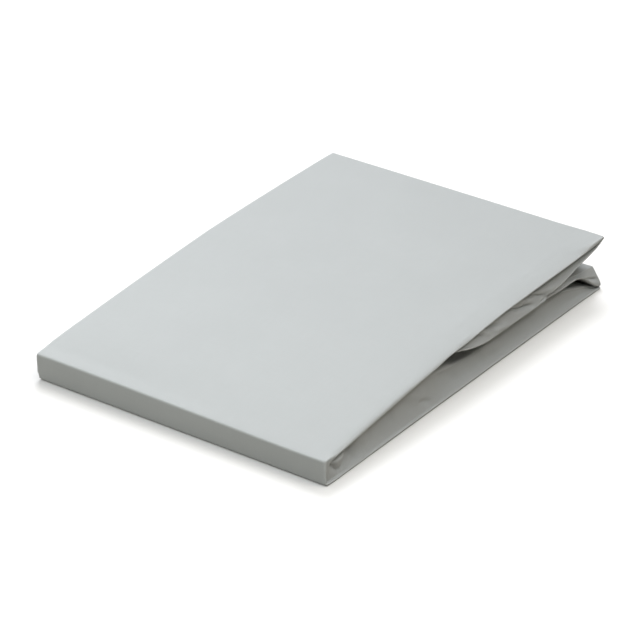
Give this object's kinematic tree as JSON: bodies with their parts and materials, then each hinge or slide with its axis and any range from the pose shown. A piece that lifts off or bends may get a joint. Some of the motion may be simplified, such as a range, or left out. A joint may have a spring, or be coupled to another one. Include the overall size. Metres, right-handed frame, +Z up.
{
  "type": "folded pillowcase",
  "caption": "Plain woven pillowcase folded in thirds with both ends turned in, then closed like a book into a flat pack that rises from its fold.",
  "frame": {"origin": "centre of the pack's footprint on the surface it lies on", "axes": "+X across the pack to the side that shows the folded layers, +Y from the folded spine to the open far end, +Z up"},
  "size_m": [0.169, 0.2398, 0.0306],
  "materials": {
    "cloth": "matt plain-woven cotton, pale grey-green, softly ironed"
  },
  "bodies": {
    "root": {"pillowcase": "cloth"}
  },
  "joints": []
}
